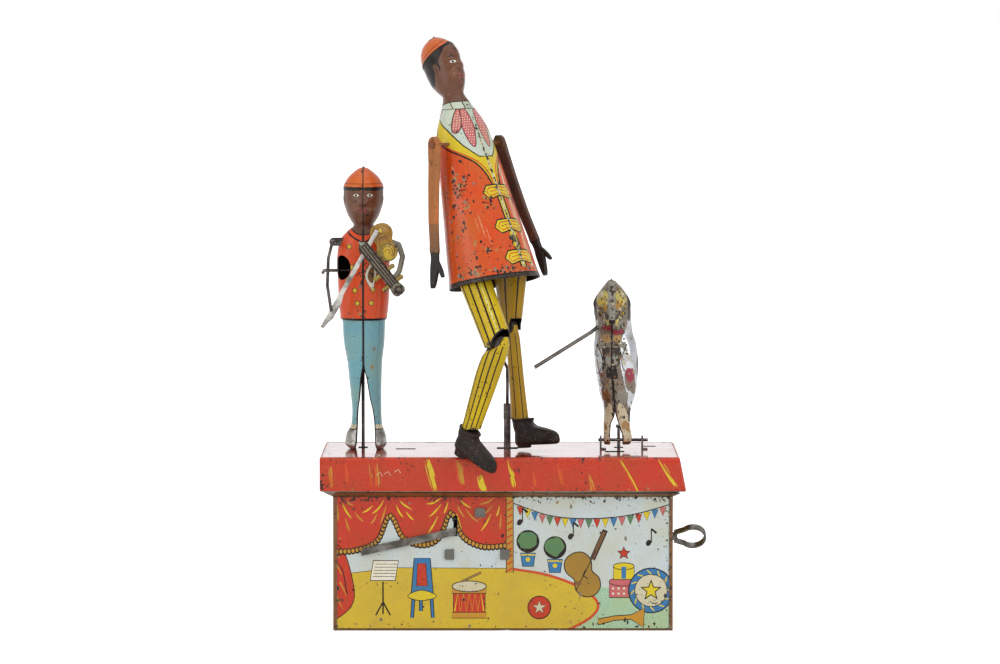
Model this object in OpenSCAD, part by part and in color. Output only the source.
/* [Tin box] */
// Width of the box, left to right
case_w = 130.8; // [120:0.2:145]
// Depth of the box, front to back
case_d = 56; // [50:1:70]
// Height of the box walls
case_h = 51.8; // [50:0.2:60]
// Thickness of the tin sheet
sheet = 0.5; // [0.4:0.05:0.6]
// Width of the hem turned in along the bottom edge
bottom_hem = 2.2; // [1.5:0.1:4]
// Width of the end panels' folds over the front and back
corner_fold = 1.2; // [0.8:0.1:2]

/* [Roof] */
// How far the roof stands out past the box on every side
roof_overhang = 5; // [3:0.1:6]
// Height of the roof's upright band
roof_band_h = 13.2; // [11:0.1:15]
// Height of the sloping strip between the band and the box
soffit_rise = 2.5; // [1.5:0.1:4]
// How much the right end of the band slopes out from top to bottom
right_end_slope = 2.6; // [0:0.1:4]
// Width of the slot for the dancer's rod, left to right
rod_slot_w = 7; // [5:0.1:9]
// Length of the slot for the dancer's rod, front to back
rod_slot_d = 5; // [4:0.1:7]

/* [Motor] */
// Space between the two motor plates
plate_gap = 17.9; // [17.5:0.1:19]
// Thickness of a motor plate
plate_t = 0.8; // [0.6:0.05:1]
// Height of the motor plates' lower edge above the table
plate_bottom = 6; // [4:0.5:8]
// Height of the motor plates' upper edge above the table
plate_top = 46; // [44:0.5:48]
// Radius of the winding arbor
arbor_r = 1.6; // [1.3:0.05:1.9]
// Height of the winding arbor above the table
arbor_z = 33.5; // [32:0.1:34.5]
// Radius of the two small arbors
small_arbor_r = 0.8; // [0.6:0.05:1]
// Radial running clearance of every turning fit
fit = 0.05; // [0.03:0.01:0.09]
// Gear module, pitch diameter per tooth
gear_module = 0.5; // [0.48:0.01:0.52]
// Teeth of the great wheel
great_teeth = 48; // [48:4:52]
// Teeth of the second pinion
second_pinion_teeth = 10; // [10:1:12]
// Teeth of the second wheel
second_wheel_teeth = 40; // [36:4:44]
// Teeth of the crank pinion
crank_pinion_teeth = 8; // [8:1:10]
// Width of the mainspring's strip
spring_w = 8; // [6:0.5:8.5]
// Thickness of the mainspring's strip
spring_t = 0.45; // [0.35:0.05:0.6]
// Turns of the mainspring
spring_turns = 6; // [4:1:7]
// Throw of the crank, half of the dancer's rise
crank_throw = 3; // [2:0.1:3.4]

/* [Winding key] */
// Length of the key's loop, out from the box
key_len = 12.6; // [10:0.1:16]
// Width across the key's loop
key_w = 10.4; // [9:0.1:14]
// Width of the key's strip
key_strip_w = 2.6; // [2:0.1:4]
// Thickness of the key's strip
key_strip_t = 0.8; // [0.6:0.05:1]
// Angle that the key stands turned, from flat to the front
key_angle = 35; // [0:5:60]

/* [Dancer] */
// Place of the hips' centre, left to right
dancer_x = -4.5; // [-6:0.1:-3]
// Place of the hips' centre, front to back
dancer_y = -18.1; // [-19:0.1:-17.5]
// Direction the dancer faces, from the right end towards the front
dancer_turn = 45; // [44:0.5:46]
// Height of the hip pin above the roof
hip_rise = 69.5; // [68.5:0.1:71]
// Half the spacing of the two legs at the hips
hip_half = 10.2; // [10:0.1:10.8]
// Drop from the hip pin to the coat's hem
hem_drop = 2.3; // [2:0.1:2.6]
// Backward lean of the dancer's body
lean = 16.7; // [16:0.1:17.5]
// Half width of the coat's hem, side to side
hem_side = 17.4; // [17:0.1:17.6]
// Distance from the coat's middle to the middle of an arm
arm_offset = 19.4; // [19.3:0.1:20]
// Rise from the hip pin to the shoulder pins
shoulder_rise = 50; // [49:0.1:51]
// Length of an arm below its shoulder pin
arm_len = 55.4; // [52:0.1:56]
// Radius of the shoulder, hip and knee pins
pin_r = 0.7; // [0.6:0.05:0.8]
// Thickness of the pressed shells' walls
wall = 0.8; // [0.6:0.05:0.9]
// Radius of the dancer's lower tube
tube_r = 1.35; // [1.2:0.05:1.5]
// Radius of the dancer's upper wire
wire_r = 0.65; // [0.5:0.05:0.8]

/* [Fiddler] */
// Distance from the roof's left end to the fiddler
fiddler_inset = 16; // [15.4:0.1:17]
// Place of the fiddler, front to back
fiddler_y = 6; // [5:0.1:7]
// Length of the bow
bow_len = 43.6; // [40:0.2:46]
// Length of the violin's neck from body to scroll
violin_neck_len = 20; // [17:0.5:22]
// Radius of the push wires and thin wires
push_wire_r = 0.65; // [0.5:0.05:0.75]

/* [Dog] */
// Distance from the roof's right end to the dog
dog_inset = 28.2; // [27.5:0.1:29]
// Place of the dog's foot axle, front to back
dog_y = 1; // [0:0.1:2]
// Height of the dog's foot axle above the roof
axle_rise = 3.7; // [3.5:0.1:4.2]
// Length of the cane as a share of the dog's distance from the dancer
cane_share = 0.587; // [0.52:0.005:0.6]

/* [Hidden] */
$fn = 40;

// Small gap between pieces that move past each other
seat_gap = 0.3;

// Box and roof, worked out from the driving sizes
half_w = case_w / 2;
half_d = case_d / 2;
roof_bottom = case_h + soffit_rise;
roof_top = roof_bottom + roof_band_h;
roof_half_w = half_w + roof_overhang;
roof_half_d = half_d + roof_overhang;
fiddler_x = -roof_half_w + fiddler_inset;
dog_x = roof_half_w - dog_inset;
cane_len = cane_share * (dog_x - dancer_x);
hip_z = roof_top + hip_rise;
hem_z = hip_z - hem_drop;
shoulder_z = hip_z + shoulder_rise;

// Motor, from left to right
right_plate_x = -1;
left_plate_x = right_plate_x - plate_gap - plate_t;
inner_left = left_plate_x + plate_t;
spring_x = inner_left + 1.6;
great_x = spring_x + spring_w + 2.2;
wheel_t = 0.9;
ratchet_x = great_x - 1.2;
second_wheel_x = great_x + 2.6;
crank_disc_x = right_plate_x + plate_t + 0.5;
crank_disc_t = 0.6;
crank_pin_len = 1.2;
yoke_x = crank_disc_x + crank_disc_t + crank_pin_len + seat_gap;
rod_x = yoke_x - 0.7;
rod_y = 6;
crank_y = rod_y;
crank_z = 16;
first_centres = (great_teeth + second_pinion_teeth) * gear_module / 2;
second_centres = (second_wheel_teeth + crank_pinion_teeth) * gear_module / 2;
// The second arbor stands where both wheel pairs are in mesh
arbor_span = norm([crank_y, crank_z - arbor_z]);
along = (pow(first_centres, 2) - pow(second_centres, 2) + pow(arbor_span, 2)) / (2 * arbor_span);
aside = sqrt(pow(first_centres, 2) - pow(along, 2));
dir_y = crank_y / arbor_span;
dir_z = (crank_z - arbor_z) / arbor_span;
second_y = dir_y * along + dir_z * aside;
second_z = arbor_z + dir_z * along - dir_y * aside;
angle_first = atan2(second_z - arbor_z, second_y);
angle_second = atan2(crank_z - second_z, crank_y - second_y);
arbor_head = 0.8;
tab_w = 4;
tab_bent = 2.8;
tab_t = 0.8;
tab_cut = 0.6;
tab_z = 29.6;
bridge_tab_x = -8.8;
plate_half = half_d - sheet;
bridge_z = plate_top - 2;

// Stop lever
lever_t = 0.6;
lever_w = 2.8;
lever_x = inner_left + seat_gap;
lever_pivot_y = -12;
lever_pivot_z = 38.6;
lever_reach = 36.5;
lever_drop = 8;
lever_front_y = -half_d - 1.2;

// Rocker beam under the roof
beam_y = 9.4;
beam_z = 57;
beam_t = 0.8;
beam_h = 4;
fiddler_wire_x = fiddler_x - 0.4;
dog_wire_x = dog_x + 3.2;
beam_pivot_x = (fiddler_wire_x + dog_wire_x) / 2;

// Dancer, in the dancer's own frame: x forwards, y to the far side
hem_u = 1.3;
shoulder_u = -11.5;
near_knee = [18, -hip_half - 4.3, hip_z - 25.1];
near_ankle = [7.6, -hip_half - 8.4, hip_z - 58.2];
near_heel = [2.9, -hip_half - 9.2, hip_z - 68.7];
far_knee = [-2.1, hip_half + 3.2, hip_z - 20.8];
far_ankle = [-2.4, hip_half + 7.8, hip_z - 57.2];
far_heel = [-0.7, hip_half + 8.8, hip_z - 68.5];

// Fiddler and dog, heights above the table
dog_axle_z = roof_top + axle_rise;
bow_pivot = [fiddler_x - 11.7, roof_top + 81];
bow_plane = -13.2;
bow_t = 0.7;

// Colours as the photograph shows them
red = "#c8391f";
roof_red = "#d8432b";
steel = "#8d8f90";
dark = "#4a4443";
brass = "#b8902a";
coat_red = "#d9541e";
trouser = "#c9b21e";

// A lofted solid whose rings all have the same count of points, capped at both ends by strips
function ring_faces(n, rings) = [
    for (i = [0 : rings - 2], j = [0 : n - 1], t = [0, 1])
        let (a = i * n + j, b = i * n + (j + 1) % n, c = a + n, d = b + n)
            t == 0 ? [a, b, c] : [b, d, c]];
function strip_cap(n, start, flip) = [
    for (j = [0 : n / 2 - 2], t = [0, 1])
        let (a = start + j, b = start + j + 1, c = start + n - 1 - j, d = start + n - 2 - j,
             f = t == 0 ? [a, b, c] : [b, d, c])
            flip ? [f[2], f[1], f[0]] : f];
module loft(rings) {
    n = len(rings[0]);
    count = len(rings);
    polyhedron(points = [for (r = rings, p = r) p],
        faces = concat(ring_faces(n, count), strip_cap(n, 0, true),
            strip_cap(n, (count - 1) * n, false)));
}

// One ring of a pressed half shell: an outer arc and an inner arc, both in a level plane.
// row: height, forward shift, front, back, gap from the middle plane, side, share hollowed out,
// and the ridge that stands out along the front seam, as a nose does
shell_steps = 10;
ridge_power = 14;
function shell_ring(row, w) = let (
        z = row[0], c = row[1], front = row[2], back = row[3], gap = row[4], side = row[5],
        inner = max(0, side - gap - w) * row[6], ridge = row[7])
    concat(
        [for (i = [0 : shell_steps]) let (a = -90 + 180 * i / shell_steps)
            [c + (a > 0 ? front : back) * sin(a) + (a > 0 ? ridge * pow(sin(a), ridge_power) : 0),
                gap + (side - gap) * cos(a), z]],
        [for (i = [shell_steps : -1 : 0]) let (a = -90 + 180 * i / shell_steps)
            [c + ((a > 0 ? front : back) - w) * sin(a), gap + inner * cos(a), z]]);
// The half shell on the +y side, or its mirror on the -y side
module half_shell(rows, w, far) {
    rings = [for (r = rows) shell_ring(r, w)];
    if (far) loft(rings);
    else mirror([0, 1, 0]) loft(rings);
}

// A closed ring of a limb: centre, front, back, side and pitch of the ring
limb_steps = 12;
function limb_ring(c, front, back, side, pitch) = [
    for (i = [0 : limb_steps - 1]) let (a = 360 * i / limb_steps + 180 / limb_steps,
            u = (cos(a) > 0 ? front : back) * cos(a))
        [c[0] + u * cos(pitch), c[1] + side * sin(a), c[2] - u * sin(pitch)]];
function lerp(a, b, t) = a + (b - a) * t;

module box_at(low, high) translate(low) cube(high - low);
module rod_x(x0, x1, r, y, z) translate([x0, y, z]) rotate([0, 90, 0]) cylinder(h = x1 - x0, r = r);
module rod_y(y0, y1, r, x, z) translate([x, y0, z]) rotate([-90, 0, 0]) cylinder(h = y1 - y0, r = r);
module rod_between(a, b, r) {
    d = b - a;
    translate(a) rotate([0, acos(d[2] / norm(d)), atan2(d[1], d[0])]) cylinder(h = norm(d), r = r);
}
// A bent wire as one tube: rings stand in the mitre planes, and up is square to the bends
wire_sides = 8;
function unit(v) = v / norm(v);
function wire_ring(points, i, r, up) = let (
        last = len(points) - 1,
        before = unit(points[max(i, 1)] - points[max(i, 1) - 1]),
        after = unit(points[min(i, last - 1) + 1] - points[min(i, last - 1)]),
        way = unit(before + after), side = unit(cross(way, up)), lift = cross(side, way),
        stretch = 1 / max(0.5, before * way))
    [for (k = [0 : wire_sides - 1]) let (a = 360 * (k + 0.5) / wire_sides)
        points[i] + r * (side * cos(a) * stretch + lift * sin(a))];
module wire(points, r, up) loft([for (i = [0 : len(points) - 1]) wire_ring(points, i, r, up)]);

// Box walls
module wall_sheet(front) {
    s = front ? -1 : 1;
    inside = half_d - sheet;
    difference() {
        union() {
            translate([-half_w + sheet, front ? -half_d : inside, 0])
                cube([case_w - 2 * sheet, sheet, case_h]);
            translate([-half_w + sheet, front ? -inside : inside - bottom_hem, 0])
                cube([case_w - 2 * sheet, bottom_hem, sheet]);
        }
        for (x = [left_plate_x, right_plate_x])
            translate([x - fit, s * half_d - 1, tab_z - tab_w / 2 - fit])
                cube([plate_t + 2 * fit, 2, tab_w + 2 * fit]);
        translate([bridge_tab_x - tab_w / 2 - fit, s * half_d - 1, bridge_z - fit])
            cube([tab_w + 2 * fit, 2, plate_t + 2 * fit]);
        if (front)
            translate([lever_x - 0.5, -half_d - 1, lever_pivot_z - lever_w / 2 - 0.6])
                cube([lever_t + 1, 2, lever_w + 5]);
    }
}
module front_panel() color("#d0b62e") wall_sheet(true);
// The back sheet's hem runs on along both ends, so the box rests on one flat strip round three sides
module back_panel() color("#c9a53a") {
    wall_sheet(false);
    for (s = [-1, 1])
        box_at([s > 0 ? half_w - sheet - bottom_hem : -half_w + sheet, -half_d + sheet + bottom_hem + fit, 0],
            [s > 0 ? half_w - sheet : -half_w + sheet + bottom_hem, half_d - sheet, sheet]);
}
module end_sheet() {
    box_at([half_w - sheet, -half_d, 0], [half_w, half_d, case_h]);
    for (s = [-1, 1])
        box_at([half_w - corner_fold, s > 0 ? half_d : -half_d - 0.4, 0],
            [half_w, s > 0 ? half_d + 0.4 : -half_d, case_h]);
}
module left_end_panel() color("#b98f3a") mirror([1, 0, 0]) end_sheet();
module right_end_panel() color("#b98f3a") difference() {
    end_sheet();
    rod_x(half_w - sheet - 1, half_w + 1, arbor_r + fit, 0, arbor_z);
}

// A mitred band round the roof: each row is inset from the roof's edge, and height
function band_corners(inset, z) = let (
        out = right_end_slope * (roof_top - z) / roof_band_h,
        right = roof_half_w - right_end_slope + min(out, right_end_slope) - inset,
        left = -roof_half_w + inset, y = roof_half_d - inset)
    [[left, -y, z], [right, -y, z], [right, y, z], [left, y, z]];
module roof_band(profile) {
    n = len(profile);
    corners = [for (p = profile) band_corners(p[0], p[1])];
    polyhedron(points = [for (k = [0 : 3], i = [0 : n - 1]) corners[i][k]],
        faces = [for (k = [0 : 3], i = [0 : n - 1], t = [0, 1])
            let (a = k * n + i, b = k * n + (i + 1) % n, c = ((k + 1) % 4) * n + i,
                 d = ((k + 1) % 4) * n + (i + 1) % n)
                t == 0 ? [a, c, b] : [b, c, d]]);
}
module slot_hole(x, y, w, d) {
    r = min(w, d) / 2;
    for (s = [-1, 1])
        translate([x + s * (w / 2 - r), y + s * (d / 2 - r), roof_top - 2]) cylinder(h = 4, r = r);
    if (w > d) box_at([x - w / 2 + r, y - r, roof_top - 2], [x + w / 2 - r, y + r, roof_top + 2]);
    if (d > w) box_at([x - r, y - d / 2 + r, roof_top - 2], [x + r, y + d / 2 - r, roof_top + 2]);
}
module roof() color(roof_red) difference() {
    union() {
        roof_band([[0, roof_top], [0, roof_bottom], [roof_overhang, case_h],
            [roof_overhang, case_h + sheet], [sheet, roof_bottom + sheet], [sheet, roof_top]]);
        box_at([-roof_half_w + sheet / 2, -roof_half_d + sheet / 2, roof_top - sheet],
            [roof_half_w - right_end_slope - sheet / 2, roof_half_d - sheet / 2, roof_top]);
    }
    slot_hole(rod_x, rod_y, rod_slot_w, rod_slot_d);
    slot_hole(fiddler_wire_x, beam_y, 2.4, 4);
    slot_hole(dog_wire_x, beam_y, 2.4, 2.4);
    slot_hole(dog_x + 1.2, -8.6, 6.2, 3);
    slot_hole(-38, 3, 6.5, 1.2);
    slot_hole(57.5, 14, 3.8, 1);
}

// Motor
// The part of a tab that is bent over outside the front or back sheet, with its corners cut off
module bent_tab(x, w, z, h, s) translate([x, s > 0 ? half_d + tab_t : -half_d, z]) rotate([90, 0, 0])
    linear_extrude(tab_t) polygon([[tab_cut, 0], [w - tab_cut, 0], [w, tab_cut], [w, h - tab_cut],
        [w - tab_cut, h], [tab_cut, h], [0, h - tab_cut], [0, tab_cut]]);
module motor_plate(x) difference() {
    union() {
        box_at([x, -plate_half, plate_bottom + 8], [x + plate_t, plate_half, plate_top - 8]);
        box_at([x, -plate_half + 8, plate_bottom], [x + plate_t, plate_half - 8, plate_top]);
        for (s = [-1, 1]) {
            translate([x, s > 0 ? plate_half : -half_d, tab_z - tab_w / 2]) cube([plate_t, sheet, tab_w]);
            bent_tab(x - (x < -10 ? tab_bent : 0), tab_bent + plate_t, tab_z - tab_w / 2, tab_w, s);
        }
    }
    rod_x(x - 1, x + 2, arbor_r + fit, 0, arbor_z);
    rod_x(x - 1, x + 2, small_arbor_r + fit, second_y, second_z);
    rod_x(x - 1, x + 2, small_arbor_r + fit, crank_y, crank_z);
    for (p = pillar_spots) rod_x(x - 1, x + 2, spigot_r, p[0], p[1]);
}
module motor_plate_left() color("#9a9c9d") motor_plate(left_plate_x);
module motor_plate_right() color("#9a9c9d") motor_plate(right_plate_x);
module motor_bridge() color("#9a9c9d") difference() {
    union() {
        box_at([inner_left, -plate_half, bridge_z], [right_plate_x, plate_half, bridge_z + plate_t]);
        for (s = [-1, 1]) {
            translate([bridge_tab_x - tab_w / 2, s > 0 ? plate_half : -half_d, bridge_z])
                cube([tab_w, sheet, plate_t]);
            bent_tab(bridge_tab_x - tab_w / 2, tab_w, bridge_z, tab_bent + plate_t, s);
        }
    }
    box_at([inner_left + 1, -12, bridge_z - 1], [right_plate_x - 3, 14, bridge_z + 2]);
    translate([lever_x - 1, -plate_half - 1, bridge_z - 1]) cube([lever_t + 2, 12, 3]);
}
// Pillars between the plates; the mainspring is hooked on the last one
pillar_r = 1.3;
spigot_r = 0.8;
pillar_spots = [[-16, 10], [16, 10], [-17.4, 42.4], [16.5, 41.5], [14, 33.5]];
module motor_pillars() color(steel) for (p = pillar_spots) {
    rod_x(inner_left, right_plate_x, pillar_r, p[0], p[1]);
    rod_x(left_plate_x - 0.5, right_plate_x + plate_t + 0.5, spigot_r, p[0], p[1]);
    for (x = [left_plate_x - 0.5, right_plate_x + plate_t]) rod_x(x, x + 0.5, pillar_r, p[0], p[1]);
}
module rod_guide() color(steel) difference() {
    x0 = right_plate_x + plate_t;
    union() {
        box_at([x0, rod_y - 4, 36], [x0 + 0.6, rod_y + 4, 45.4]);
        box_at([x0, rod_y - 4, 44.6], [rod_x + tube_r + 1.2, rod_y + 4, 45.4]);
    }
    translate([rod_x, rod_y, 43]) cylinder(h = 4, r = tube_r + fit);
    translate([rod_x, rod_y, 35]) cylinder(h = 9.4, r = tube_r + seat_gap);
    rod_x(x0 - 1, x0 + 2, arbor_r + 1, 0, arbor_z);
}

// The mainspring is one spiral strip from the arbor out to a pillar
spring_inner = arbor_r + 0.7;
spring_outer = 12.2;
spring_steps = 26;
function spiral(r0, r1, turns, off) = [
    for (i = [0 : spring_steps * turns]) let (t = i / (spring_steps * turns), a = 360 * turns * t,
            r = r0 + (r1 - r0) * t + off)
        [r * cos(a), r * sin(a)]];
module mainspring() color("#5f6a78") translate([spring_x, 0, arbor_z]) rotate([90, 0, 90])
    linear_extrude(spring_w) polygon(concat(spiral(spring_inner, spring_outer, spring_turns, 0),
        reverse(spiral(spring_inner, spring_outer, spring_turns, spring_t))));
function reverse(v) = [for (i = [len(v) - 1 : -1 : 0]) v[i]];

// A gear outline with narrow, straight-sided teeth; a tooth stands at angle zero
function tooth_points(n, m) = let (r = n * m / 2, p = 360 / n) [
    for (i = [0 : n - 1], q = [[-0.30, r - 1.2 * m], [-0.21, r - 0.2 * m], [-0.08, r + 0.75 * m],
            [0.08, r + 0.75 * m], [0.21, r - 0.2 * m], [0.30, r - 1.2 * m]])
        [q[1] * cos(p * (i + q[0])), q[1] * sin(p * (i + q[0]))]];
// A gear on the x axis at y, z, whose tooth or gap points along an angle
module gear(x, t, y, z, n, turn, bore_r, hub_r) {
    difference() {
        union() {
            translate([x, y, z]) rotate([90, 0, 90]) rotate(turn) linear_extrude(t)
                polygon(tooth_points(n, gear_module));
            if (hub_r > 0) rod_x(x, x + t, hub_r, y, z);
        }
        rod_x(x - 1, x + t + 1, bore_r, y, z);
    }
}
key_x = half_w + 1.4;
key_rivet_r = 1;
module winding_arbor() color(steel) {
    rod_x(left_plate_x - 1.2, key_x, arbor_r, 0, arbor_z);
    rod_x(key_x - 1, key_x + key_strip_t + 0.1, key_rivet_r, 0, arbor_z);
    rod_x(key_x + key_strip_t, key_x + key_strip_t + 0.5, key_rivet_r + 0.4, 0, arbor_z);
    rod_x(left_plate_x - 1.2 - arbor_head, left_plate_x - 0.4 - arbor_head, arbor_r + 0.8, 0, arbor_z);
}
module winding_key() color("#7d7a70") difference() {
    translate([key_x, 0, arbor_z]) rotate([key_angle + 90, 0, 0]) translate([0, 0, -key_strip_w / 2])
        linear_extrude(key_strip_w) difference() {
            key_outline(0);
            key_outline(key_strip_t);
        }
    rod_x(key_x - 1, key_x + 2, key_rivet_r, 0, arbor_z);
}
module key_outline(inset) {
    r = key_w / 2 - inset;
    round_x = key_len - key_w / 2;
    translate([round_x, 0]) circle(r);
    polygon([[inset, -2.2 + inset * 0.4], [round_x, -r], [round_x, r], [inset, 2.2 - inset * 0.4]]);
}
ratchet_teeth = 12;
ratchet_r = 4.2;
module ratchet_wheel() color(brass) difference() {
    translate([ratchet_x, 0, arbor_z]) rotate([90, 0, 90]) linear_extrude(wheel_t)
        polygon([for (i = [0 : ratchet_teeth - 1], q = [[0, ratchet_r], [0.08, ratchet_r - 0.9]])
            let (a = 360 / ratchet_teeth * (i + q[0])) [q[1] * cos(a), q[1] * sin(a)]]);
    rod_x(ratchet_x - 1, ratchet_x + 2, arbor_r, 0, arbor_z);
}
spoke_holes = 4;
module great_wheel() color(brass) difference() {
    gear(great_x, wheel_t, 0, arbor_z, great_teeth, angle_first, arbor_r + fit, 0);
    for (i = [0 : spoke_holes - 1]) let (a = 45 + 360 / spoke_holes * i)
        rod_x(great_x - 1, great_x + 2, 2, 7.4 * cos(a), arbor_z + 7.4 * sin(a));
}
module click() color(steel) {
    translate([ratchet_x, 0, arbor_z]) rotate([90, 0, 90]) linear_extrude(wheel_t)
        polygon([[4.75, 0.8], [4.95, 2.4], [1.5, 8.4], [-0.4, 9.2], [-0.6, 7.9], [0.6, 7.2], [3.9, 2.5],
            [4.15, 1.7]]);
    rod_x(great_x - seat_gap, great_x, 0.6, 0.3, arbor_z + 8.3);
}
module second_arbor() color(steel) small_arbor(second_y, second_z, right_plate_x + plate_t + 0.1);
module small_arbor(y, z, end) rod_x(left_plate_x - 0.4, end, small_arbor_r, y, z);
module second_pinion() color(brass)
    gear(great_x - 0.4, wheel_t + 0.8, second_y, second_z, second_pinion_teeth,
        180 + angle_first + 180 / second_pinion_teeth, small_arbor_r, 0);
module second_wheel() color(brass)
    gear(second_wheel_x, wheel_t, second_y, second_z, second_wheel_teeth, angle_second, small_arbor_r, 0);
module crank_pinion() color(brass)
    gear(second_wheel_x - 0.4, wheel_t + 0.8, crank_y, crank_z, crank_pinion_teeth,
        180 + angle_second + 180 / crank_pinion_teeth, small_arbor_r, 0);
module crank_arbor() color(steel) small_arbor(crank_y, crank_z, crank_disc_x);
module crank_disc() color(steel) {
    rod_x(crank_disc_x, crank_disc_x + crank_disc_t, crank_throw + 1.6, crank_y, crank_z);
    rod_x(crank_disc_x + crank_disc_t, crank_disc_x + crank_disc_t + crank_pin_len, 0.7,
        crank_y, crank_z - crank_throw);
}
brake_r = 4;
brake_x = lever_x + lever_t + seat_gap;
module brake_disc() color(steel) difference() {
    rod_x(brake_x, brake_x + 0.6, brake_r, crank_y, crank_z);
    rod_x(brake_x - 1, brake_x + 2, small_arbor_r, crank_y, crank_z);
    for (i = [0 : 5]) translate([brake_x - 1, crank_y, crank_z]) rotate([60 * i + 30, 0, 0])
        translate([0, brake_r - 0.8, -0.6]) cube([3, 2, 1.2]);
}
module stop_lever() color(steel) difference() {
    union() {
        box_at([lever_x, lever_front_y, lever_pivot_z - lever_w / 2],
            [lever_x + lever_t, lever_pivot_y, lever_pivot_z + lever_w / 2]);
        rod_x(lever_x, lever_x + lever_t, 2, lever_pivot_y, lever_pivot_z);
        translate([lever_x, 0, 0]) rotate([90, 0, 90]) linear_extrude(lever_t)
            polygon([[lever_pivot_y - 1.8, lever_pivot_z], [lever_pivot_y + 1.8, lever_pivot_z],
                [crank_y - brake_r - 0.4, crank_z + 0.6], [crank_y - brake_r - 0.4, crank_z - 0.6],
                [crank_y - brake_r - 2, crank_z - 0.6]]);
        box_at([lever_x, crank_y - brake_r - 1.4, crank_z - 0.6],
            [brake_x + 0.6, crank_y - brake_r - 0.4, crank_z + 0.6]);
        translate([lever_x + lever_t, lever_front_y + lever_t, lever_pivot_z]) rotate([90, 0, 0])
            linear_extrude(lever_t) polygon([[0, -lever_w / 2], [0, lever_w / 2],
                [-lever_reach, lever_w / 2 - lever_drop], [-lever_reach, -lever_w / 2 - lever_drop]]);
    }
    rod_x(lever_x - 1, lever_x + 2, pin_r + fit, lever_pivot_y, lever_pivot_z);
}
module lever_rivet() color(steel) {
    rod_x(inner_left, lever_x + lever_t + 0.1, pin_r, lever_pivot_y, lever_pivot_z);
    rod_x(lever_x + lever_t + 0.1, lever_x + lever_t + 0.7, 1.4, lever_pivot_y, lever_pivot_z);
}

// Rocker beam
beam_pin_r = 0.9;
module rocker_beam() color(dark) difference() {
    union() {
        box_at([fiddler_wire_x - 1.4, beam_y - beam_t / 2, beam_z - beam_h / 2],
            [dog_wire_x + 1.4, beam_y + beam_t / 2, beam_z + beam_h / 2]);
        rod_y(beam_y - beam_t / 2, beam_y + beam_t / 2, beam_h / 2 + 0.8, beam_pivot_x, beam_z);
    }
    rod_y(beam_y - 2, beam_y + 2, beam_pin_r + fit, beam_pivot_x, beam_z);
}
link_x = yoke_x + 3.2;
module beam_link() color(dark) {
    y = beam_y - beam_t / 2 - push_wire_r;
    wire([[link_x, y, beam_z], [link_x, y, crank_z + 14], [link_x, crank_y, crank_z + 6],
        [link_x, crank_y, crank_z + 2.4]], push_wire_r, [1, 0, 0]);
    difference() {
        rod_x(link_x - 0.4, link_x + 0.4, 2.6, crank_y, crank_z);
        rod_x(link_x - 1, link_x + 1, 1.4, crank_y, crank_z);
    }
}
bracket_y = beam_y + beam_t / 2 + seat_gap;
module beam_bracket() color("#9a9c9d") {
    box_at([beam_pivot_x - 3, bracket_y, beam_z - 3], [beam_pivot_x + 3, bracket_y + 0.8, roof_top - sheet]);
    box_at([beam_pivot_x - 3, bracket_y, roof_top - sheet - 0.8],
        [beam_pivot_x + 3, bracket_y + 6, roof_top - sheet]);
    rod_y(beam_y - beam_t / 2 - 0.9, bracket_y, beam_pin_r, beam_pivot_x, beam_z);
    rod_y(beam_y - beam_t / 2 - 0.9, beam_y - beam_t / 2 - 0.3, 1.5, beam_pivot_x, beam_z);
}

// Dancer's drive
yoke_bottom = crank_z - crank_throw - 3;
yoke_top = crank_z + crank_throw + 5;
module dancer_yoke() color(steel) difference() {
    union() {
        box_at([yoke_x, crank_y - 6, yoke_bottom], [yoke_x + 0.8, crank_y + 6, yoke_top]);
        box_at([rod_x - tube_r, crank_y - 2, yoke_top - 0.8], [yoke_x + 0.4, crank_y + 2, yoke_top]);
    }
    for (s = [-1, 1])
        rod_x(yoke_x - 1, yoke_x + 2, 0.8, crank_y + s * (crank_throw + 0.6), crank_z - crank_throw);
    box_at([yoke_x - 1, crank_y - crank_throw - 0.6, crank_z - crank_throw - 0.8],
        [yoke_x + 2, crank_y + crank_throw + 0.6, crank_z - crank_throw + 0.8]);
}
// Route of the dancer's wire above the tube, in the dancer's frame from the bend upwards
crimp_z = roof_top + 11.5;
wire_start_z = crimp_z + 6;
module dancer_rod() color(dark) {
    translate([rod_x, rod_y, yoke_top]) cylinder(h = crimp_z - yoke_top, r = tube_r);
    translate([rod_x, rod_y, 0]) box_at([-tube_r - 0.15, -0.8, crimp_z], [tube_r + 0.15, 0.8, wire_start_z]);
    wire([[rod_x, rod_y, wire_start_z], [rod_x, rod_y, wire_start_z + 14], in_world([-10.8, 1, hip_z - 10]),
        in_world([-pin_r - wire_r - 0.1, 0, hip_z])], wire_r, [0.8, -0.6, 0]);
}
function in_world(p) = [dancer_x + p[0] * cos(dancer_turn) + p[1] * sin(dancer_turn),
    dancer_y - p[0] * sin(dancer_turn) + p[1] * cos(dancer_turn), p[2]];
module dancer_frame() translate([dancer_x, dancer_y, 0]) rotate(-dancer_turn) children();
module body_frame() dancer_frame() translate([hem_u, 0, hem_z]) rotate([0, -lean, 0]) children();

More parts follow.
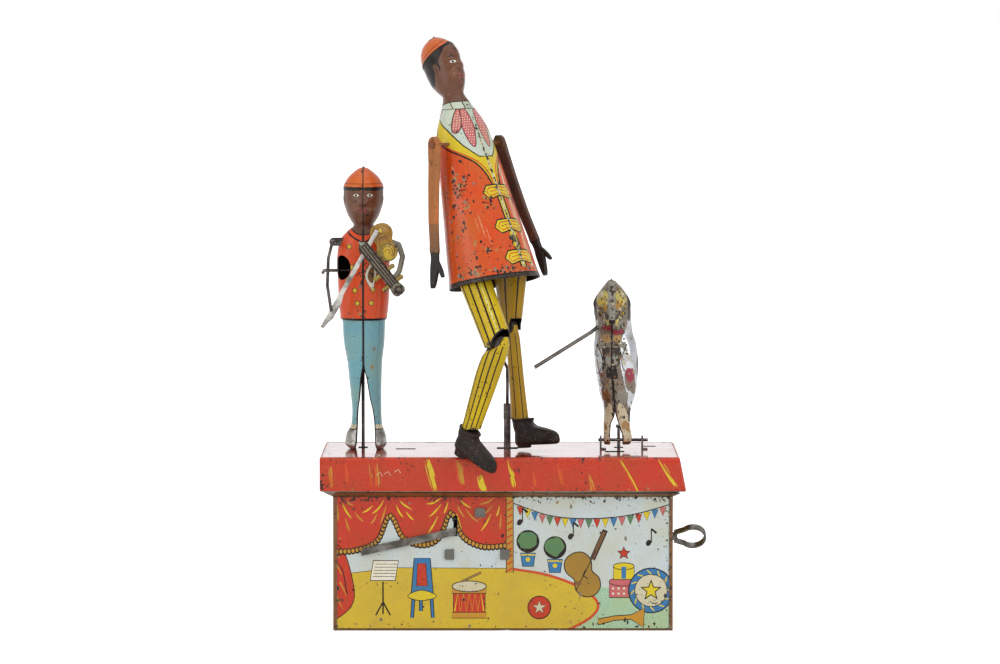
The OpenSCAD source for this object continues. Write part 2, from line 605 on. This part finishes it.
// Coat and head from hem to cap: height, shift, front, back, gap, side, share hollowed out, ridge
coat_rows = [
    [-3, 0, 18.3, 18.3, 0, hem_side + 0.3, 1, 0],
    [1.2, 0, 17.6, 17.6, 0, hem_side - 0.4, 1, 0],
    [14, 0, 15.6, 15.6, 0, 16, 1, 0],
    [30, 0, 12.9, 13, 0, 14.6, 1, 0],
    [44, 0, 10.6, 10.6, 0, 13.7, 1, 0],
    [54, 0, 8.6, 8.8, 0, 12.8, 1, 0],
    [59.5, 0, 7.8, 8, 0, 11.9, 1, 0],
    [63, 0, 7, 7.2, 0, 10.4, 1, 0],
    [67, -0.2, 6.2, 6.5, 0, 7.7, 1, 0],
    [70.8, -0.4, 5.2, 5.6, 0, 5.3, 1, 0],
    [74.4, -0.7, 4.1, 4.6, 0, 3.9, 1, 0],
    [76, -1, 5.2, 5.8, 0, 4.4, 1, 0.5],
    [78, -1.3, 6.4, 7.2, 0, 5, 1, 0.9],
    [79.8, -1.6, 7, 8.2, 0, 5.3, 1, 0.4],
    [81.4, -1.8, 7.3, 8.7, 0, 5.5, 1, 0.9],
    [83, -2, 7.5, 9, 0, 5.6, 1, 0.6],
    [84.2, -2.2, 7.8, 9.2, 0, 5.7, 1, 1.9],
    [86.8, -2.6, 8.1, 9.4, 0, 5.8, 1, 0.8],
    [89.6, -3.2, 8.6, 9.5, 0, 5.8, 1, 0.2],
    [91, -3.4, 8.5, 9.2, 0, 5.7, 1, 0],
    [93.6, -3.9, 7.6, 8.2, 0, 5.1, 1, 0],
    [96, -4.4, 5.6, 6.2, 0, 4, 1, 0],
    [98, -4.8, 2.7, 3, 0, 2, 1, 0],
    [98.9, -4.9, 0.95, 0.95, 0, 0.9, 1, 0]];
// The hem is cut off a little more level than the leaning coat
hem_cut_tilt = 4.3;
module hem_cut() body_frame() translate([0, 0, -1.35]) rotate([0, hem_cut_tilt, 0])
    translate([-40, -40, -20]) cube([80, 80, 20]);
module dancer_shell(far) difference() {
    body_frame() half_shell(coat_rows, wall, far);
    hem_cut();
    dancer_frame() pin_bore(hip_z, 0, pin_r);
    dancer_frame() pin_bore(shoulder_z, shoulder_u, pin_r);
}
module pin_bore(z, u, r) translate([u, -40, z]) rotate([-90, 0, 0]) cylinder(h = 80, r = r);
module dancer_near_shell() color(coat_red) dancer_shell(false);
module dancer_far_shell() color(coat_red) dancer_shell(true);
hip_pin_half = hem_side + 0.2;
module hip_pin() color(steel) dancer_frame()
    translate([0, -hip_pin_half, hip_z]) rotate([-90, 0, 0]) cylinder(h = 2 * hip_pin_half, r = pin_r);
shoulder_inner = 9;
arm_t = 2.2;
// How much closer to the coat the far arm is at its pin than at its hand
far_arm_bend = 3.4;
module shoulder_pins() color(steel) dancer_frame() for (s = [-1, 1])
    translate([shoulder_u, 0, shoulder_z]) rotate([-90 * s, 0, 0]) {
        reach = arm_offset - (s > 0 ? far_arm_bend : 0);
        translate([0, 0, shoulder_inner]) cylinder(h = reach + arm_t / 2 + 0.1 - shoulder_inner, r = pin_r);
        translate([0, 0, reach + arm_t / 2 + 0.1]) cylinder(h = 0.6, r = 1.5);
        translate([0, 0, reach - arm_t / 2 - 0.5]) cylinder(h = 0.4, r = 1.5);
    }
// An arm hangs from its pin: drop below the pin, half width, shift forwards
arm_rows = [[3.2, 1.4, 0], [2.2, 2.6, 0], [0, 3.2, 0], [-6, 2.9, 0], [-16, 2.7, -0.3], [-28, 2.5, -0.4],
    [-38, 2.3, 0.1], [-41, 2.4, 0.2], [-41.6, 2, 0.3], [-44, 1.9, 0.4], [-47, 2.3, 0.3], [-51, 1.9, -0.2],
    [-54, 1.5, -0.6], [-55.4, 0.7, -0.8]];
thumb_rows = [[-43.6, 0.8, 0.9], [-45.5, 1.1, 2], [-48, 1.1, 3.5], [-50, 0.9, 4.4], [-50.8, 0.4, 4.7]];
// Rows below the pin follow the arm's length
function arm_drop(z) = z < 0 ? z * arm_len / 55.4 : z;
function arm_side(z, bend) = z > -4 ? -bend : -bend * (51.4 + z + 4) / 51.4;
module arm(s, swing, bend) dancer_frame()
    translate([shoulder_u, s * arm_offset, shoulder_z]) rotate([0, -swing, 0]) difference() {
        union() {
            loft([for (r = arm_rows) limb_ring([r[2], arm_side(r[0], bend), arm_drop(r[0])], r[1], r[1],
                arm_t / 2 * (r[0] < -44 ? 0.9 : 1), 0)]);
            loft([for (r = thumb_rows) limb_ring([r[2], arm_side(r[0], bend), arm_drop(r[0])], r[1], r[1],
                arm_t * 0.4, 0)]);
        }
        translate([0, -6, 0]) rotate([-90, 0, 0]) cylinder(h = 12, r = pin_r + fit);
    }
module near_arm() color(coat_red) arm(-1, 0, 0);
far_arm_swing = 24;
module far_arm() color("#5a4a44") arm(1, far_arm_swing, far_arm_bend);

// Legs: a thigh is an open sleeve from the hip to the knee
thigh_steps = 6;
thigh_top_rise = 2;
knee_drop = 1.6;
// size at the knee: front, back, side
function thigh_ring(top, knee, size, t, inset) = let (c = lerp(top, knee, t))
    limb_ring(c, lerp(8, size[0], t) - inset, lerp(8, size[1], t) - inset, lerp(4.9, size[2], t) - inset, 0);
module thigh(side_y, knee, size, mouth) difference() {
    hip = [0, side_y, hip_z];
    span = hip_z - knee[2];
    t0 = -thigh_top_rise / span;
    t1 = 1 + knee_drop / span;
    ts = [for (i = [0 : thigh_steps]) t0 + (t1 - t0) * i / thigh_steps];
    outer = [for (t = ts) thigh_ring(hip, knee, size, t, 0)];
    inner = [for (i = [thigh_steps : -1 : 0]) thigh_ring(hip, knee, size, ts[i], wall)];
    sleeve(concat(outer, inner));
    pin_bore(hip_z, 0, pin_r + fit);
    translate([knee[0], side_y - 12, knee[2]]) rotate([-90, 0, 0]) cylinder(h = 24, r = pin_r);
    translate([knee[0], side_y + 14, knee[2]]) rotate([90, 0, 0]) linear_extrude(28) polygon(mouth);
}
// Where the front of a thigh is cut away above the knee pin: forwards and up from the pin
near_mouth = [[1.4, -3], [1.6, 1.6], [5.2, 10], [16, 10], [16, -3]];
far_mouth = [[1, -3], [1.2, 1], [3.6, 7], [12, 7], [12, -3]];
// A tube whose outer and inner walls are one closed loop of rings
module sleeve(rings) {
    n = limb_steps;
    count = len(rings);
    polyhedron(points = [for (r = rings, p = r) p], faces = [
        for (i = [0 : count - 1], j = [0 : n - 1], t = [0, 1])
            let (k = (i + 1) % count, a = i * n + j, b = i * n + (j + 1) % n, c = k * n + j,
                 d = k * n + (j + 1) % n)
                t == 0 ? [a, b, c] : [b, d, c]]);
}
module near_thigh() color(trouser) dancer_frame() thigh(-hip_half, near_knee, [7.2, 6.6, 4.9], near_mouth);
module far_thigh() color(trouser) dancer_frame() thigh(hip_half, far_knee, [3.8, 3.8, 3.6], far_mouth);
module knee_pin(knee, half) translate([knee[0], knee[1] - half, knee[2]]) rotate([-90, 0, 0])
    cylinder(h = 2 * half, r = pin_r);
module knee_pins_near() color(steel) dancer_frame() knee_pin(near_knee, 5.3);
module knee_pins_far() color(steel) dancer_frame() knee_pin(far_knee, 4.1);
// Lower leg and boot. Shin rows: share of the way down, rise, front, back, side, tilt
near_shin = [[0, 2.3, 2, 2.2, 1.6, -18], [0, 1.2, 5, 4.2, 2.8, -18], [0.06, 0, 6.4, 4.4, 3.6, -16],
    [0.13, 0, 6.4, 5.4, 4.3, -12], [0.26, 0, 5.8, 5.5, 4.4, -6], [0.6, 0, 5, 5, 3.9, 0],
    [0.93, 0, 4.3, 4.3, 3.4, 0]];
far_shin = [[0, 2, 1.4, 1.4, 1.3, 0], [0, 0.6, 2.2, 2.2, 1.9, 0], [0.06, 0, 2.6, 2.6, 2.2, 0],
    [0.13, 0, 3, 3, 2.4, 0], [0.26, 0, 3.1, 3.1, 2.5, 0], [0.6, 0, 3.4, 3.3, 2.6, 0],
    [0.93, 0, 3.9, 3.8, 2.9, 0]];
// Boot rows: height, shift, front, back, side
boot_rows = [[10.6, 0, 4.2, 4.2, 3.4], [8.8, 0.3, 5.6, 4.5, 3.4], [7.4, 1.2, 11.8, 5.2, 3.2],
    [6.2, 2, 15, 5.6, 3.4], [4.6, 2.3, 16.4, 6, 3.7], [2.8, 2.4, 16.6, 6.1, 3.7], [1.5, 2.4, 15.4, 5.7, 3.2]];
// A heel reaches up into the sole
heel_h = 3.6;
module lower_leg(shin, knee, ankle, heel, pitch) difference() {
    union() {
        loft(concat(
            [for (r = shin) limb_ring(lerp(knee, ankle, r[0]) + [0, 0, r[1]], r[2], r[3], r[4], r[5])],
            [for (r = boot_rows) limb_ring([heel[0] + r[1] + r[0] * sin(pitch), heel[1],
                heel[2] + r[0] * cos(pitch)], r[2], r[3], r[4], pitch)]));
        translate(heel) rotate([0, pitch, 0]) cylinder(h = heel_h, r1 = 2.5, r2 = 3);
    }
    translate([knee[0], knee[1] - 12, knee[2]]) rotate([-90, 0, 0]) cylinder(h = 24, r = pin_r + fit);
}
near_pitch = 27;
far_pitch = -5;
module near_lower_leg() color(trouser) dancer_frame()
    lower_leg(near_shin, near_knee, near_ankle, near_heel, near_pitch);
module far_lower_leg() color(trouser) dancer_frame()
    lower_leg(far_shin, far_knee, far_ankle, far_heel, far_pitch);

// Fiddler: height above the roof, shift, front, back, left gap, left side, right gap, right side,
// share hollowed out, ridge
fiddler_rows = [
    [0, 0, 7, 3.5, 3.4, 5.4, 5.2, 7.6, 0.15, 0],
    [2, 0, 8, 4, 2.8, 7.4, 4.6, 9, 0.15, 0],
    [5.5, 0, 6, 3.8, 2.6, 7, 4.4, 8.6, 0.15, 0],
    [9.5, 0, 4, 3.2, 2.4, 5, 4.2, 7.2, 0.15, 0],
    [14.5, 0, 3.9, 3.4, 2.2, 4.6, 3.6, 6.9, 1, 0],
    [20, 0, 4.6, 4.2, 1.5, 5, 2.4, 6.9, 1, 0],
    [27.5, 0, 5.6, 5.2, 0.9, 5.8, 1.2, 7, 1, 0],
    [33.5, 0, 6.3, 6, 0, 6.4, 0, 7.2, 1, 0],
    [42.6, 0, 6.9, 6.7, 0, 7.9, 0, 8.2, 1, 0],
    [50.4, 0, 7.2, 7, 0, 8.4, 0, 8.5, 1, 0],
    [51.2, 0, 7.7, 7.5, 0, 9, 0, 9, 1, 0],
    [57, 0, 7.9, 7.7, 0, 9.7, 0, 9.8, 1, 0],
    [63, 0, 8, 7.8, 0, 10, 0, 10.1, 1, 0],
    [74, 0, 7.9, 7.5, 0, 10.4, 0, 10.2, 1, 0],
    [79, 0, 7.3, 7, 0, 9.9, 0, 9.9, 1, 0],
    [82.5, 0, 6.2, 6.1, 0, 8.6, 0, 8.6, 1, 0],
    [85.5, 0, 4.9, 4.8, 0, 5.9, 0, 5.9, 1, 0],
    [87.4, 0, 4, 4.2, 0, 3.8, 0, 3.8, 1, 0.2],
    [88.6, 0, 5.2, 5, 0, 4.6, 0, 4.6, 1, 0.5],
    [91, 0, 6.4, 6.2, 0, 6, 0, 6, 1, 0.4],
    [93, 0, 7, 7, 0, 6.8, 0, 6.8, 1, 0.7],
    [94.6, 0, 7.2, 7.5, 0, 7.1, 0, 7.1, 1, 0.3],
    [96, 0, 7.4, 7.8, 0, 7.4, 0, 7.4, 1, 1.5],
    [98.4, 0, 7.7, 8, 0, 7.7, 0, 7.7, 1, 0.5],
    [101, 0, 8.2, 8, 0, 7.8, 0, 7.8, 1, 0],
    [102, 0, 8.4, 8.1, 0, 7.9, 0, 7.9, 1, 0],
    [105.5, 0, 6.6, 6.6, 0, 6.4, 0, 6.4, 1, 0],
    [108.6, 0, 3.6, 3.6, 0, 3.3, 0, 3.3, 1, 0],
    [110.2, 0, 0.95, 0.95, 0, 0.9, 0, 0.9, 1, 0]];
function half_rows(rows, far) = [for (r = rows)
    [r[0], r[1], r[2], r[3], far ? r[6] : r[4], far ? r[7] : r[5], r[8], r[9]]];
module figure_frame(x, y, z) translate([x, y, z]) rotate(-90) children();
arm_hole_z = 71;
module fiddler_left_shell() color(red) difference() {
    figure_frame(fiddler_x, fiddler_y, roof_top) half_shell(half_rows(fiddler_rows, false), wall, false);
    rod_y(fiddler_y - 12, fiddler_y + 12, 4.4, fiddler_x - 8, roof_top + arm_hole_z);
    lug_plate(fit);
}
module fiddler_right_shell() color(red) difference() {
    figure_frame(fiddler_x, fiddler_y, roof_top) half_shell(half_rows(fiddler_rows, true), wall, true);
    violin_tab(fit);
    rod_between(left_arm_path[0], left_arm_path[1], left_arm_r + fit);
}
wire_hook_z = roof_top + arm_hole_z - 1.5;
hook_x = bow_pivot[0] - 4.4;
module fiddler_push_wire() color(dark)
    wire([[fiddler_wire_x, beam_y, beam_z + beam_h / 2 + seat_gap], [fiddler_wire_x, beam_y, wire_hook_z],
        [hook_x, beam_y, wire_hook_z]], push_wire_r, [0, 1, 0]);
// A short cross wire from the push wire to the bow arm's eye
module bow_hook() color(dark)
    rod_y(arm_wire_y + push_wire_r + seat_gap, beam_y - push_wire_r, push_wire_r, hook_x + push_wire_r,
        wire_hook_z);
// Bow arm: a wire from the shoulder to the bow's lower end
bow_low = [fiddler_x - 15.8, roof_top + 48];
bow_dir = [0.492, 0.871];
arm_wire_y = fiddler_y + bow_plane;
module bow_arm() color(dark) {
    wire([[bow_pivot[0], arm_wire_y, bow_pivot[1] + 0.6], [bow_pivot[0] - 1.6, arm_wire_y, bow_pivot[1] - 6],
        [bow_pivot[0] - 2, arm_wire_y, bow_pivot[1] - 16.5], [bow_low[0] + 3.6, arm_wire_y, bow_low[1] + 6.4]],
        push_wire_r, [0, 1, 0]);
    rod_y(arm_wire_y - push_wire_r, lug_y + lug_t + 0.8, bow_pin_r, bow_pivot[0], bow_pivot[1]);
}
// The lug on the left shoulder that the bow arm's pin turns in
bow_pin_r = 0.9;
lug_y = fiddler_y - 3;
lug_t = 0.8;
lug_r = 1.6;
module lug_plate(extra) box_at([bow_pivot[0], lug_y - extra, bow_pivot[1] - lug_r - extra],
    [fiddler_x - 7.8, lug_y + lug_t + extra, bow_pivot[1] + lug_r + extra]);
module shoulder_lug() color(red) difference() {
    union() {
        lug_plate(0);
        rod_y(lug_y, lug_y + lug_t, lug_r, bow_pivot[0], bow_pivot[1]);
    }
    rod_y(lug_y - 1, lug_y + 2, bow_pin_r + fit, bow_pivot[0], bow_pivot[1]);
}
module bow() color("#b9b7b4") translate([bow_low[0], arm_wire_y + push_wire_r + bow_t, bow_low[1]])
    rotate([90, 0, 0]) linear_extrude(bow_t) rotate(atan2(bow_dir[1], bow_dir[0]))
        polygon([[0, -0.5], [3, -1.1], [5, -1.9], [12, -1.9], [15, -0.9], [bow_len, -0.8],
            [bow_len, 0.8], [15, 0.9], [0, 0.8]]);
// Violin, in front of the jacket: a bulging body, and a striped neck in front of body and bow
violin_gap = 11.4;
violin_y = fiddler_y - violin_gap;
violin_at = [fiddler_x + 8.4, roof_top + 81];
violin_tab_z = violin_at[1] + 1.9;
violin_angle = -72;
violin_depth = 3;
module violin_tab(extra) box_at([fiddler_x + 3.6 - extra, violin_y + 0.4, violin_tab_z - extra],
    [fiddler_x + 6.6 + extra, fiddler_y - 3.4, violin_tab_z + 0.8 + extra]);
module violin_body() color(brass) {
    translate([violin_at[0], violin_y + violin_depth, violin_at[1]]) rotate([90, 0, 0]) rotate(violin_angle)
        difference() {
            linear_extrude(violin_depth) violin_outline(0);
            translate([0, 0, -1]) linear_extrude(violin_depth + 0.2) violin_outline(0.7);
        }
    violin_tab(0);
}
module violin_outline(inset) {
    translate([-3.4, 0]) circle(4.5 - inset);
    translate([3.4, 0]) circle(4.2 - inset);
    polygon([[-3.4, -3.2 + inset], [3.4, -3.2 + inset], [3.4, 3.2 - inset], [-3.4, 3.2 - inset]]);
}
neck_at = [fiddler_x - 0.4, roof_top + 80.5];
neck_angle = -51.5;
neck_t = 1.2;
neck_back_y = violin_y - bow_t - push_wire_r + 0.1;
module violin_neck() color(dark) translate([neck_at[0], neck_back_y, neck_at[1]])
    rotate([90, 0, 0]) rotate(neck_angle) {
        linear_extrude(neck_t) polygon([[-1.6, 0], [1.2, -2.4], [violin_neck_len, -2.1],
            [violin_neck_len + 3.2, -2.7], [violin_neck_len + 4.8, -1.4], [violin_neck_len + 4.8, 1.4],
            [violin_neck_len + 3.2, 2.7], [violin_neck_len, 2.1], [1.2, 2.4]]);
        for (x = [violin_neck_len - 6, violin_neck_len - 0.6], s = [-1, 1])
            translate([x, s * 3, neck_t / 2]) rotate([90 * s, 0, 0]) cylinder(h = 2.2, r = 0.6, center = true);
    }
left_arm_r = 1.1;
left_arm_path = [for (p = [[8, fiddler_y - 0.8, 0.9], [13.8, fiddler_y - 4.6, -1], [15.4, fiddler_y - 7.5, -5.5],
    [14.2, neck_back_y + 2.2, -11], [11.2, neck_back_y + left_arm_r, -15.1]])
    [fiddler_x + p[0], p[1], violin_at[1] + p[2]]];
module fiddler_left_arm() color("#6b6a60") wire(left_arm_path, left_arm_r, [1, 1, 0]);

// Dog, upright on its hind feet
dog_rows = [
    [-1.7, 0, 2.2, 1.8, 0.4, 2.6, 4.5, 7.4, 0.15, 0],
    [0.8, 0, 3, 2.4, 0.4, 3, 4.4, 8.2, 0.15, 0],
    [5.8, 0, 3.4, 3.2, 0.2, 3, 3, 7.4, 0.15, 0],
    [10.7, 0, 4.4, 4.2, -1.4, 2.6, 1.6, 7.4, 0.15, 0],
    [21, 0, 6.2, 6, -0.6, 4.8, 0.8, 9.8, 1, 0],
    [29, 0, 7.6, 7.2, 0, 6.3, 0, 10.6, 1, 0],
    [37.3, 0, 8, 7, 0, 6.8, 0, 9.8, 1, 0],
    [42, 0.4, 7.8, 6.6, 0, 6.3, 0, 8.4, 1, 0.4],
    [44.5, 0.8, 9, 6.4, 0, 6.2, 0, 8, 1, 1.6],
    [47.6, 1, 9.8, 6.3, 0, 6.5, 0, 7.8, 1, 2.4],
    [50, 1, 8.8, 6.4, 0, 6.8, 0, 7.7, 1, 1.2],
    [53, 0.6, 8, 6.6, 0, 6.8, 0, 7.4, 1, 0.2],
    [56, 0.2, 7.2, 6.3, 0, 5.8, 0, 6.4, 1, 0],
    [59, 0, 5.4, 5, 0, 4, 0, 4.6, 1, 0],
    [61.6, 0, 3, 2.8, 0, 1.9, 0, 2.2, 1, 0],
    [62.8, 0, 0.95, 0.95, 0, 0.9, 0, 0.9, 1, 0]];
module dog_shell(far) difference() {
    figure_frame(dog_x, dog_y, dog_axle_z) half_shell(half_rows(dog_rows, far), wall, far);
    rod_x(dog_x - 20, dog_x + 20, push_wire_r + fit, dog_y, dog_axle_z);
    if (far) lug_bar(fit);
    else rod_between(cane_start, cane_bend, cane_r + fit);
}
// The lug behind the dog's leg that its push wire lifts
lug_rise = 4.6;
module lug_bar(extra) box_at([dog_wire_x - 1.2, dog_y + 1.4 - extra, dog_axle_z + lug_rise - extra],
    [dog_wire_x + 3.2 + extra, beam_y + 1, dog_axle_z + lug_rise + 0.7 + extra]);
module dog_lug() color(dark) lug_bar(0);
module dog_left_shell() color("#cfc9ae") dog_shell(false);
module dog_right_shell() color("#cfc9ae") dog_shell(true);
axle_left = dog_x - 5;
axle_right = dog_x + 14.4;
bracket_t = 0.7;
bracket_spots = [axle_left + 0.6, axle_right - 2.6];
module dog_axle() color(dark) rod_x(axle_left, axle_right, push_wire_r, dog_y, dog_axle_z);
module dog_brackets() color("#c9bfae") for (x = bracket_spots) difference() {
    union() {
        box_at([x, dog_y - 1.6, roof_top], [x + bracket_t, dog_y + 1.6, dog_axle_z + 1.6]);
        box_at([x, dog_y - 1.6, roof_top], [x + 2.4, dog_y + 1.6, roof_top + 0.5]);
    }
    rod_x(x - 1, x + 2, push_wire_r, dog_y, dog_axle_z);
}
module dog_push_wire() color(dark)
    translate([dog_wire_x, beam_y, beam_z + beam_h / 2 + seat_gap])
        cylinder(h = dog_axle_z + lug_rise - 0.4 - beam_z - beam_h / 2 - seat_gap, r = push_wire_r);
cane_r = 0.75;
cane_start = [dog_x - 4, dog_y - 4.6, dog_axle_z + 45.6];
cane_bend = cane_start + [-4, 0, -3.2];
module cane() color(steel)
    wire([cane_start, cane_bend, cane_bend + [-cane_len * 0.8, -0.6, -cane_len * 0.5]], cane_r, [0, 1, 0]);

front_panel();
back_panel();
left_end_panel();
right_end_panel();
roof();
motor_plate_left();
motor_plate_right();
motor_bridge();
motor_pillars();
rod_guide();
mainspring();
winding_arbor();
winding_key();
ratchet_wheel();
great_wheel();
click();
second_arbor();
second_pinion();
second_wheel();
crank_arbor();
crank_pinion();
crank_disc();
brake_disc();
stop_lever();
lever_rivet();
rocker_beam();
beam_link();
beam_bracket();
dancer_yoke();
dancer_rod();
dancer_near_shell();
dancer_far_shell();
hip_pin();
shoulder_pins();
near_arm();
far_arm();
near_thigh();
far_thigh();
knee_pins_near();
knee_pins_far();
near_lower_leg();
far_lower_leg();
fiddler_left_shell();
fiddler_right_shell();
fiddler_push_wire();
bow_arm();
bow();
violin_body();
violin_neck();
fiddler_left_arm();
shoulder_lug();
bow_hook();
dog_left_shell();
dog_right_shell();
dog_lug();
dog_axle();
dog_brackets();
dog_push_wire();
cane();
